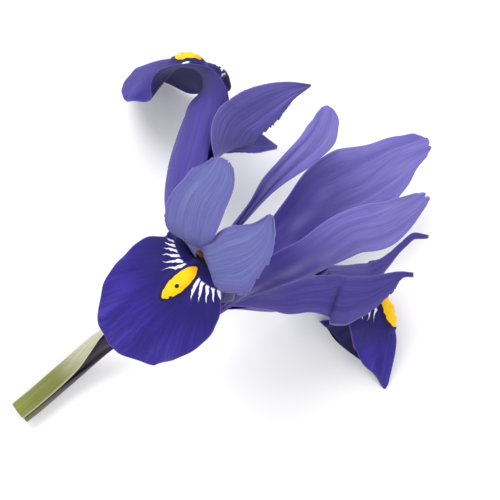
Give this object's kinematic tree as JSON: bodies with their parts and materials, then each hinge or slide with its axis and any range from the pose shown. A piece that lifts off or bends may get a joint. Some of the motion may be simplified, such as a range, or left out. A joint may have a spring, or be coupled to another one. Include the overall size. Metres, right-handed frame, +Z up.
{
  "type": "iris flower",
  "caption": "Picked dwarf iris flower lying on its side: round violet falls, narrow standards and crested style arms on a slender tube.",
  "frame": {"origin": "centre of the bounding box at the surface that the flower lies on", "axes": "+Z up from the surface; +X along the longest extent, from the cut end towards the tips of the standards; +Y towards the back fall"},
  "size_m": [0.0736, 0.0648, 0.0536],
  "materials": {
    "tube": "soft olive to purple plant tissue",
    "spathe": "papery green leaf sheath with a pale margin",
    "fall": "velvety violet petal with a yellow ridge",
    "standard": "satin blue-violet petal",
    "style": "satin pale periwinkle petal",
    "stamen": "powdery brown anther"
  },
  "bodies": {
    "root": {"perianth_tube": "tube", "spathe_bract": "spathe", "spathe_bracteole": "spathe", "fall_front": "fall", "fall_right": "fall", "fall_back": "fall", "stamen_front": "stamen", "stamen_right": "stamen", "stamen_back": "stamen", "style_arm_front": "style", "style_arm_right": "style", "style_arm_back": "style", "standard_left": "standard", "standard_near": "standard", "standard_far": "standard"}
  },
  "joints": []
}
